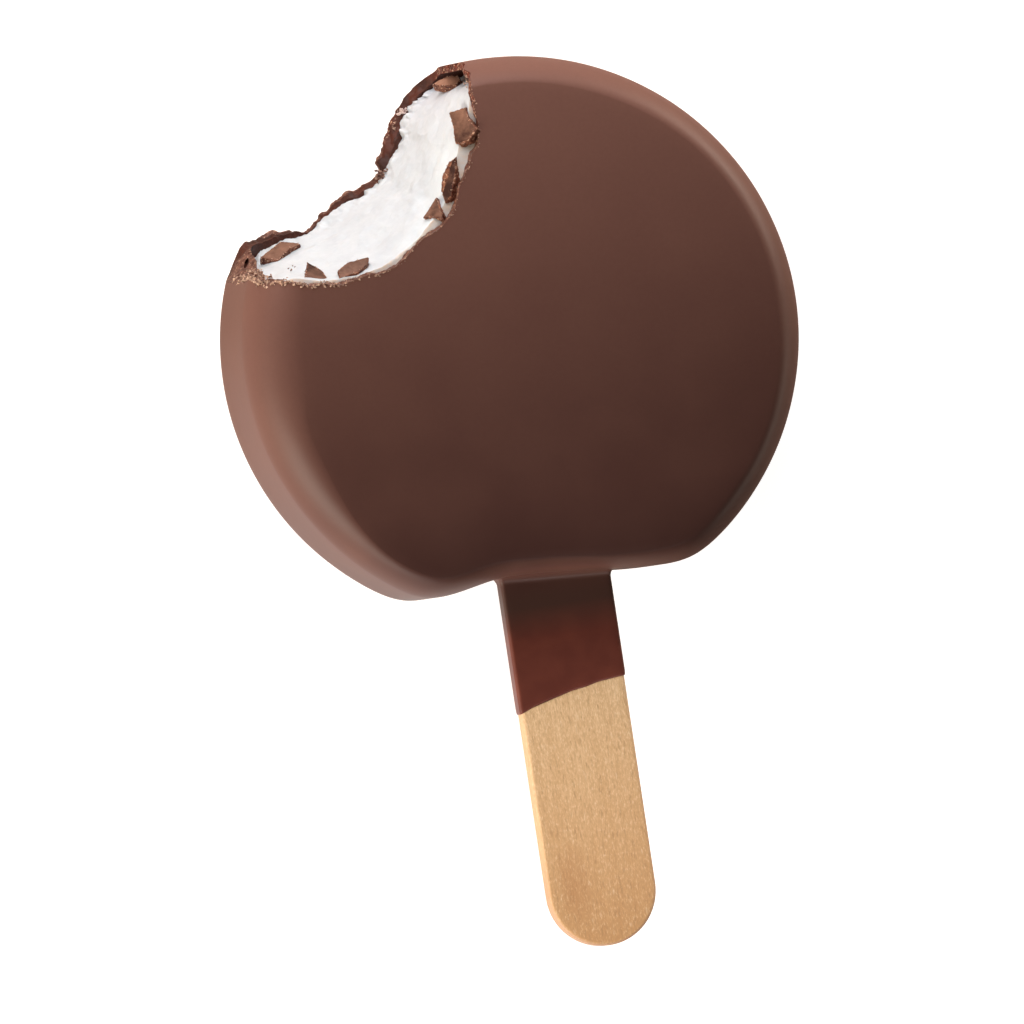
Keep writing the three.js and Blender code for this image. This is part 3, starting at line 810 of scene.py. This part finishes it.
def stick_solid(name, grow, material):
    """The stick with rounded edges, grown on every side."""
    turn = np.linspace(0, math.pi / 2, 7)
    edge = STICK_EDGE * (1 - np.sin(turn))
    rise = STICK_EDGE * (1 - np.cos(turn))
    inner = np.array([5.6, 4, 2.4, 1.2, 0.7])  # insets of the rings on its flat faces
    half = STICK_THICKNESS / 2 + grow
    flat = np.full(inner.size, half)
    inset = np.concatenate([inner, edge, edge[::-1], inner[::-1]]) - grow
    height = np.concatenate([-flat, rise - half, half - rise[::-1], flat]) + MIDDLE
    return loft(name, stick_rings(inset, height, arc_points=33, side_points=90), [material])


def film_solid():
    """The chocolate on the stick, flaring into the bar and ending in a thin rounded lip."""
    turn = np.linspace(0, math.pi / 2, 10)
    flare = np.linspace(0, math.pi / 2, FLARE_ROWS)
    flare_y = FILM_START - FLARE * (1 - np.cos(flare))
    flare_y = np.concatenate([[FILM_START + COATING], flare_y])
    grow = np.concatenate([[FLARE], FLARE * (1 - np.sin(flare)), np.zeros(FREE_ROWS)])
    thickness = FILM + grow
    thickness[-LIP_ROWS:] = FILM * np.sqrt(1 - np.linspace(0, 1, LIP_ROWS) ** 2)
    run = np.linspace(0, 1, FREE_ROWS + 1)[1:]
    rows = []
    for k, outer in enumerate(thickness):
        edge_round = STICK_EDGE + outer / 2
        x = STICK_WIDTH / 2 + outer - edge_round
        z = STICK_THICKNESS / 2 + outer - edge_round
        corners = ((x, z), (-x, z), (-x, -z), (x, -z))
        across = []
        up = []
        for quarter, (cx, cz) in enumerate(corners):
            bend = turn + quarter * math.pi / 2
            across.append(cx + edge_round * np.cos(bend))
            up.append(cz + edge_round * np.sin(bend))
            nx, nz = corners[(quarter + 1) % 4]
            between = 24 if quarter % 2 == 0 else 2  # points across the stick, and on its edge
            share = np.linspace(0, 1, between + 2)[1:-1]
            across.append(mix(across[-1][-1], nx + edge_round * np.cos(bend[-1]), share))
            up.append(mix(up[-1][-1], nz + edge_round * np.sin(bend[-1]), share))
        across, up = np.concatenate(across), np.concatenate(up)
        slope = START_SLOPE * across
        free = k - flare_y.size
        if free < 0:
            y = flare_y[k] - slope
        else:
            top = FILM_START - FLARE - slope
            side = across / (STICK_WIDTH / 2)
            end = mix(FILM_LEFT_END, FILM_RIGHT_END, (side + 1) / 2) + FILM_BOW * (1 - side**2)
            end = end + 0.1 * noise(np.stack([across, up, 0 * up], -1), 1.7)
            y = mix(top, end, 1 - (1 - run[free]) ** 1.6)  # the rows lie closer towards the end
        rows.append(np.stack([across + STICK_X, y, up + MIDDLE], -1))
    return loft("film", np.array(rows), [SKIN])


# ---------------- the main pieces


def inside_rings():
    """The inside of the coating, set in where the broken edge runs down the left wall, and out at
    the top of the round."""
    rings = body_rings(COATING, 320, 8, 16, 10)
    x, y, z = np.moveaxis(rings, -1, 0)
    angle = np.degrees(np.arctan2(y, x))
    left = band(angle, *LEFT_EXTRA_ANGLES) * band(z, *LEFT_EXTRA_HEIGHTS)
    top = band(angle, *TOP_THINNER_ANGLES) * (y > 0.5 * TOP)  # and not near the centre
    return rings + np.stack([LEFT_EXTRA * left, TOP_THINNER * top, 0 * z], -1)


def crack():
    """A deep slanted crack in the broken edge of the left wall, along the photo's line of sight, whose
    walls take the dark inner-face chocolate as painted shade.
    """
    turn = np.linspace(0, 2 * math.pi, 32, endpoint=False)[None]
    rise = np.linspace(-0.98, 0.98, 17)[:, None]
    width = np.sqrt(1 - rise**2)
    y = CRACK_HALF_LENGTH * width * np.sin(turn)
    z = CRACK_HALF_HEIGHT * rise
    x = CRACK_HALF_WIDTH * width * np.cos(turn) + CRACK_SLANT * y - 0.25 * z
    rings = np.stack([x, y, z + 0 * turn], -1) + CRACK_PLACE
    return loft("crack", rings + 0.15 * noise(rings, 0.7)[..., None], [INSIDE])


def make_coating():
    detail = (640, 18, 8, 28)
    piece = body("milk_chocolate_shell", 0, detail, ((13.0, 0.035),), SKIN)
    combine(piece, film_solid(), "UNION")
    combine(piece, loft("core", inside_rings(), [INSIDE]))
    heights = [np.linspace(*CUT_LOW, 80), np.linspace(*CUT_HIGH, 150)]
    cutter = bite_cutter("break", coating_break, 620, np.concatenate(heights), BREAK)
    combine(piece, cutter)
    combine(piece, stick_solid("slot", -STICK_OVERLAP, INSIDE))
    combine(piece, crack())
    crisp(piece, 38)
    return piece


def make_cream():
    detail = (320, 8, 6, 40)
    piece = body("soft_ice_cream", COATING - CREAM_OVERLAP, detail, ((3.0, 0.05),), CREAM_RIM)
    heights = np.linspace(CUT_LOW[0], CUT_HIGH[1], 150)
    cutter = bite_cutter("bite", cream_surface, 460, heights, CREAM)
    combine(piece, cutter)
    combine(piece, stick_solid("slot", -STICK_OVERLAP, CREAM))
    crisp(piece, 70)
    return piece


def shard_axes(along, height, lean, lift):
    """A shard's centre and its directions across the bite, up it and out of it."""
    step = 0.01

    def cream_at(share, level):
        return cream_form(np.array([share]), np.array([level]))[0]

    across = cream_at(along + step, height) - cream_at(along - step, height)
    up = cream_at(along, height + step) - cream_at(along, height - step)
    facing = unit(mix(unit(np.cross(across, up)), np.array([0, 0, 1.0]), lean))
    upwards = unit(np.array([0, 0, 1.0]) - facing[2] * facing)
    centre = cream_at(along, height) + facing * (lift - SHARD_THICKNESS / 2)
    return centre, np.stack([np.cross(upwards, facing), upwards, facing])


def make_shard(index, along, height, lean, lift, corners):
    """A flat piece of shell with crumbly broken sides and a smooth, slightly domed face, and the
    points of the rim of that face."""
    corners = np.array(corners, float)
    closed = np.concatenate([corners, corners[:1]])
    outline = along_line(closed, np.linspace(0, 1, 140, endpoint=False))
    middle = outline.mean(0)
    half = SHARD_THICKNESS / 2
    reach = np.linspace(0.08, 0.94, 9)
    side = np.linspace(-half + SHARD_EDGE, half - SHARD_EDGE, 11)
    shares = np.concatenate([reach, np.ones(side.size + 2), reach[::-1]])
    insets = np.pad(np.zeros(side.size), 1, constant_values=SHARD_EDGE)
    insets = np.pad(insets, reach.size)
    domed = half + 0.06 * (1 - reach[::-1] ** 2)
    levels = np.concatenate([np.full(reach.size + 1, -half), side, [half], domed])
    outward = unit(outline - middle)
    plan = middle + (outline - middle)[None] * shares[:, None, None]
    plan = plan - outward[None] * insets[:, None, None]
    rings = np.concatenate([plan, np.broadcast_to(levels[:, None, None], (*plan.shape[:2], 1))], -1)
    lumps = 0.16 * grains(rings + 9 * index, 0.5) + 0.08 * noise(rings + 5 * index, 0.25) - 0.1
    on_side = fade(shares, 0.8, 1)[:, None] * np.ones(len(outline))
    rings[..., :2] += outward[None] * (lumps * on_side)[..., None]
    rings[..., 2] += 0.05 * noise(rings + 3 * index, 1.2) * (1 - on_side)
    centre, axes = shard_axes(along, height, lean, lift)
    piece = loft(f"broken_shard_{index}", centre + rings @ axes, [BROKEN, FACE])
    rim_row = len(shares) - reach.size - 1
    for polygon in piece.data.polygons:
        polygon.material_index = 1 if min(polygon.vertices) >= rim_row * len(outline) else 0
    tone, along_change, painted_light_upwards, crumbly_from = SHARD_LOOKS[index - 1]
    across, up = np.moveaxis(rings[..., :2] - middle, -1, 0)
    # Painted light and shade: each shard's lightness, lighter upwards on some.
    add_values(piece, "tone", tone + along_change * across + painted_light_upwards * up)
    crumbly = progress(rings[..., 1], crumbly_from + 0.3, crumbly_from)
    from_edge = (1 - shares[:, None]) * np.linalg.norm(outline - middle, axis=1)
    add_values(piece, "rim", np.maximum(progress(from_edge, 0.5, 0), crumbly))
    crisp(piece, 35)
    rim = np.concatenate([plan[rim_row], np.full((len(outline), 1), half)], 1)
    return piece, centre + rim @ axes


def make_stick():
    piece = stick_solid("birch_stick", 0, WOOD)
    crisp(piece, 50)
    return piece


# ---------------- crumbs

rng = np.random.default_rng(19)

# Small heaps of crumbs: the centre of each, its half sizes, a count, a crumb size and tones.
CLUSTERS = [
    ((-10.8, 22.6, 1.7), (0.5, 0.55, 0.35), 130, 0.44, (-0.5, 0.8)),  # in a notch of the back wall
    ((-6.9, 30.2, 1.2), (0.4, 0.3, 0.15), 18, 0.6, (1.7, 2)),  # ice cream on the back wall
    ((-8.1, 28.8, 1.1), (0.15, 0.5, 0.15), 12, 0.4, (0.2, 0.8)),
    ((-27.6, 12.6, 15.6), (0.4, 0.3, 0.2), 7, 0.34, (0, 0.3)),  # on the ice cream at its left end
    ((-2.9, 32.6, 20.4), (0.2, 0.5, 0.5), 20, 0.3, (0.4, 1)),  # at the top of the round
]


def crumb(centre, size):
    """A small angular lump: the hull of a few random points, flattened at random."""
    points = unit(rng.normal(size=(9, 3))) * rng.uniform(0.6, 1.0, (9, 1))
    points *= size / 2 * rng.uniform([0.7, 0.7, 0.45], [1.3, 1.3, 0.9])
    turn = np.array(Matrix.Rotation(rng.uniform(0, 2 * math.pi), 3, unit(rng.normal(size=3))))
    return centre + points @ turn.T


def make_crumbs(name, places):
    """One mesh of a crumb for each (centre, size, tone)."""
    mesh = bmesh.new()
    tone = mesh.faces.layers.float.new("tone")
    for centre, size, value in places:
        vertices = [mesh.verts.new(point * MM) for point in crumb(np.asarray(centre), size)]
        hull = bmesh.ops.convex_hull(mesh, input=vertices)
        for item in hull["geom"]:
            if isinstance(item, bmesh.types.BMFace):
                item[tone] = value
        inside = set(hull["geom_interior"] + hull["geom_unused"])
        inside = [item for item in inside if isinstance(item, bmesh.types.BMVert)]
        bmesh.ops.delete(mesh, geom=inside, context="VERTS")
    data = bpy.data.meshes.new(name)
    mesh.to_mesh(data)
    mesh.free()
    data.materials.append(CRUMBS)
    return add_object(data)


def face_height(radius, angle):
    """Height of the front face and its rounded edge above a place."""
    reach, power = front_edge(angle)
    inset = outline_radius(angle, 0) - radius
    out = np.clip(1 - inset / reach, 0, 0.999)
    drop = FRONT_DEPTH * (1 - (1 - out**power) ** (1 / power))
    return THICKNESS - drop + crown_height(angle, radius, 0)


def scatter(centres, size, tones):
    """A crumb of about this size and a tone between these two at each centre."""
    sizes = size * rng.uniform(0.5, 1.4, len(centres))
    return list(zip(centres, sizes, rng.uniform(*tones, len(centres))))


def on_front(x, y, rise):
    """Points on the front face and its rounded edge."""
    return np.stack([x, y, face_height(np.hypot(x, y), np.arctan2(y, x)) + rise], -1)


def edge_crumbs():
    """Crumbs on the coating's front edge, thickest towards its left end."""
    places = []
    for low, high, count, size in (
        (0.77, 0.87, 90, 0.44),
        (0.7, 0.77, 50, 0.38),
        (0.6, 0.7, 30, 0.3),
        (0.1, 0.6, 70, 0.22),
    ):
        along = rng.uniform(low, high, count)
        edge = coating_form(along, np.full(count, THICKNESS))
        spread = rng.normal(0.05, 0.2, count) * size / 0.4
        centres = edge + out_of_bite(COATING_LINES, along) * spread[:, None]
        places += scatter(on_front(centres[:, 0], centres[:, 1], size * 0.15), size, (0.1, 1))
    return places


def wall_crumbs():
    """A heap of crumbs on the broken edge where it runs down the left wall."""
    tries, kept = 4000, 230
    along, height = rng.uniform(0.8, 0.95, tries), rng.uniform(9, 20.5, tries)
    place = coating_form(along, height)
    angle = np.arctan2(place[:, 1], place[:, 0])
    depth = outline_radius(angle, 0) - np.hypot(place[:, 0], place[:, 1])
    place = place[(depth > -0.1) & (depth < 2.8)][:kept]
    place += rng.normal((0, 0.25, 0.1), (0.1, 0.25, 0.2), place.shape)
    return scatter(place, 0.46, (0.2, 1))


def clusters():
    """The crumbs of the small heaps."""
    places = []
    for centre, spread, count, size, tones in CLUSTERS:
        offsets = np.clip(rng.normal(size=(count, 3)), -1.5, 1.5) * spread
        places += scatter(np.array(centre) + offsets, size, tones)
    return places


def shard_crumbs(rims):
    """Golden crumbs on the edges of the shards."""
    count = 26  # on each shard
    places = []
    for rim in rims:
        chosen = rng.choice(len(rim), count)
        places += scatter(rim[chosen] + rng.normal(0, 0.06, (count, 3)), 0.2, (0.3, 1))
    return places


# ---------------- camera, lights and floor


def make_camera():
    """A long lens 4 m away and 14 degrees to the left, fitted to the photo's outlines."""
    camera = bpy.data.cameras.new("camera")
    camera.lens = 1119.4
    camera.sensor_width = 36
    camera.clip_end = 50
    right = (0.95877, -0.14911, 0.24193)
    up = (0.14423, 0.98882, 0.03787)
    back = (-0.24488, -0.00142, 0.96955)
    turn = Matrix((right, up, back)).transposed().to_4x4()
    place = Matrix.Translation((-0.979245, -0.027087, 3.876237))
    bpy.context.scene.camera = add_object(camera, place @ turn)


WHITE = (1, 1, 1)
WARM = (1, 0.99, 0.86)
AMBER = (1, 0.94, 0.8)
BOX = (0.12, 0.12)
BIG_BOX = (0.14, 0.14)
STRIP = (0.2, 0.03)
# The soft boxes round the bar: direction in degrees from the bar's right, distance and height of
# its middle and its size, all in metres, its power in watts and its colour.
SOFT_BOXES = {
    "right_strip": (28, 0.3, 0.02, STRIP, 0.58, AMBER),
    "upper_right": (60, 0.3, 0.07, BOX, 0.08, WHITE),
    "top": (90, 0.3, 0.07, BOX, 0.25, WHITE),
    "left": (180, 0.3, 0.12, BOX, 0.1, WARM),
    "lower_left": (206, 0.3, 0.09, BOX, 0.8, WARM),
    "lower_left_strip": (222, 0.3, 0.02, STRIP, 0.42, WARM),
    "bottom_strip": (246, 0.3, 0.02, STRIP, 0.24, WHITE),
    "lower_right_strip": (338, 0.3, 0.02, STRIP, 0.18, AMBER),
    "high_top": (90, 0.22, 0.16, BIG_BOX, 0.35, WHITE),
    "high_left": (135, 0.22, 0.16, BIG_BOX, 0.3, WHITE),
}


def aim(light, place, target):
    facing = (Vector(place) - Vector(target)).to_track_quat("Z", "Y").to_matrix().to_4x4()
    add_object(light, Matrix.Translation(place) @ facing)


def soft_box(name, direction, distance, height, size, power, color):
    light = bpy.data.lights.new(name, "AREA")
    light.shape = "RECTANGLE"
    light.size, light.size_y = size
    light.energy = power
    light.color = color
    turn = math.radians(direction)
    aim(light, (distance * math.cos(turn), distance * math.sin(turn), height), (0, 0, 0.01))


def stick_spot():
    """A soft-edged spot on the stick."""
    light = bpy.data.lights.new("stick_spot", "SPOT")
    light.spot_size = math.radians(10.5)
    light.spot_blend = 1.0
    light.shadow_soft_size = 0.03
    light.energy = 3.3
    aim(light, (0.06, -0.27, 0.24), (0.002, -0.055, 0.012))


def make_world():
    world = bpy.data.worlds.new("studio")
    world.use_nodes = True
    bpy.context.scene.world = world
    background = world.node_tree.nodes["Background"]
    background.inputs["Color"].default_value = (1, 1, 1, 1)
    background.inputs["Strength"].default_value = 0.03


def make_floor():
    half = 3000
    level = -0.02  # just under the bar
    corners = [(x, y, level) for x, y in ((-half, -half), (half, -half), (half, half), (-half, half))]
    floor = make_piece("floor", corners, [[0, 1, 2, 3]], [FLOOR])


# ---------------- the scene

make_camera()
make_world()
make_floor()
for name, settings in SOFT_BOXES.items():
    soft_box(name, *settings)
stick_spot()
bpy.context.scene.view_settings.view_transform = "Standard"

coating = make_coating()
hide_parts("chocolate_coating")
cream = make_cream()
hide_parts("ice_cream")
stick = make_stick()
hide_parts("wooden_stick")
pieces = [coating, cream, stick]
rims = []
for number, shard in enumerate(SHARDS, 1):
    piece, rim = make_shard(number, *shard)
    rims.append(rim)
    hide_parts(f"chocolate_shard_{number}")
    pieces.append(piece)
for name, places in (
    ("edge_crumbs", edge_crumbs()),
    ("wall_crumbs", wall_crumbs()),
    ("crumb_clusters", clusters()),
    ("shard_crumbs", shard_crumbs(rims)),
):
    pieces.append(make_crumbs(name, places))
for piece in pieces:
    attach(piece, "root")
